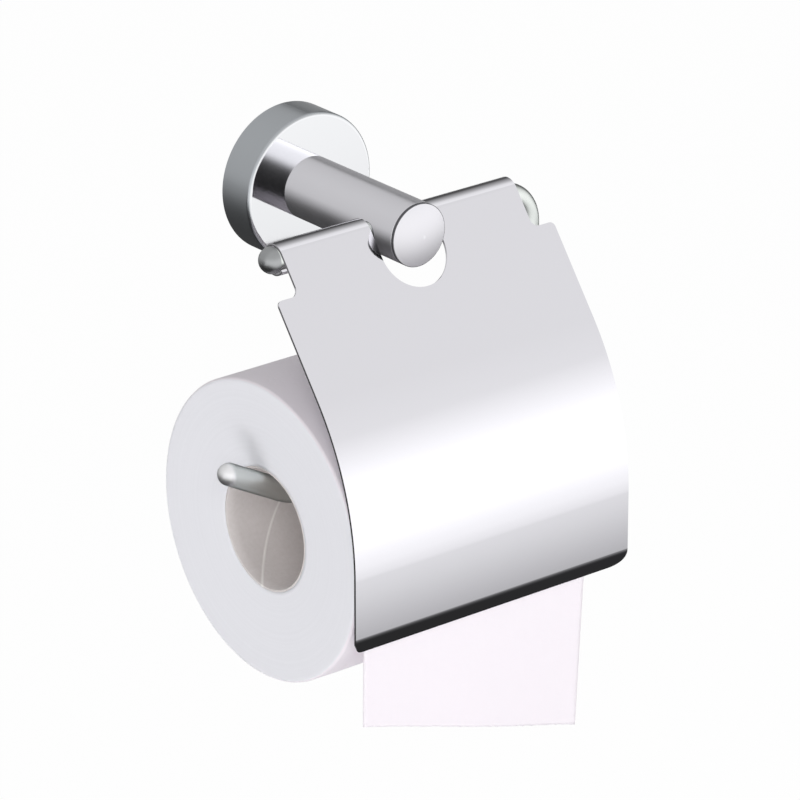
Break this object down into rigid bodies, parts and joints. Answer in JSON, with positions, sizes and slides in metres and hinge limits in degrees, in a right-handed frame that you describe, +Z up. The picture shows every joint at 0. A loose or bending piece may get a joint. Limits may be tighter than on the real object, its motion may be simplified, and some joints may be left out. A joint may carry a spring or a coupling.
{
  "type": "toilet paper holder",
  "caption": "Wall-mounted chrome toilet paper holder: round escutcheon and post, bent arm open at one end, hinged curved cover over a paper roll.",
  "frame": {"origin": "centre of the wall bracket on the wall plane, on the axis of the round post", "axes": "+Y into the wall (the holder stands out towards -Y), +Z up, X along the arm with the open end of the arm at -X"},
  "size_m": [0.1397, 0.116, 0.2106],
  "materials": {
    "polished_chrome": "mirror polished",
    "bracket_steel": "satin zinc plated",
    "screw_steel": "satin",
    "nylon": "matt",
    "tissue": "matt soft",
    "core_board": "matt"
  },
  "bodies": {
    "holder": {"wall_bracket": "bracket_steel", "escutcheon": "polished_chrome", "escutcheon_set_screw": "screw_steel", "post": "polished_chrome", "post_bolt": "screw_steel", "post_washer": "screw_steel", "post_spring_washer": "screw_steel", "post_locating_pin": "screw_steel", "post_end_cap": "polished_chrome", "arm_rod": "polished_chrome", "arm_lock_screw": "screw_steel", "arm_end_knob": "polished_chrome", "paper_tail": "tissue"},
    "cover": {"cover_flap": "polished_chrome", "cover_sleeve_left": "nylon", "cover_sleeve_right": "nylon"},
    "roll": {"paper_roll": "tissue", "cardboard_core": "core_board"}
  },
  "joints": [
    {"name": "cover_hinge", "type": "hinge", "parent": "holder", "child": "cover", "pos_m": [0, -0.0605, -0.00075], "axis": [-1, 0, 0], "range_deg": [0, 175]},
    {"name": "roll_spin", "type": "hinge", "parent": "holder", "child": "roll", "pos_m": [-0.0075, -0.0605, -0.0985], "axis": [1, 0, 0], "continuous": true}
  ]
}
